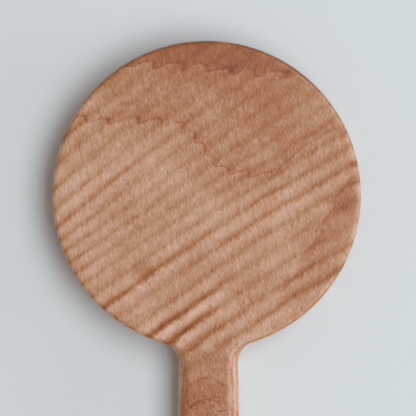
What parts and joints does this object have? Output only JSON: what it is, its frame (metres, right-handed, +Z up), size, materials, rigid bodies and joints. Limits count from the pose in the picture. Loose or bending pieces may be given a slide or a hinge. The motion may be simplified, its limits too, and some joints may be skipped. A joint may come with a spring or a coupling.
{
  "type": "butter mold",
  "caption": "Round one-piece wooden butter mold with a straight round-ended handle, a plain back, a hanging hole and a rosette print carved into its underside.",
  "frame": {"origin": "centre of the round head on the print face, which the mold lies on", "axes": "+Z up through the plain back, -Y along the handle to its end, +X to the right with the handle towards the viewer"},
  "size_m": [0.125, 0.228, 0.015],
  "materials": {
    "curly_cherry": "curly cherry, sanded smooth and oiled, satin"
  },
  "bodies": {
    "root": {"butter_mold": "curly_cherry"}
  },
  "joints": []
}
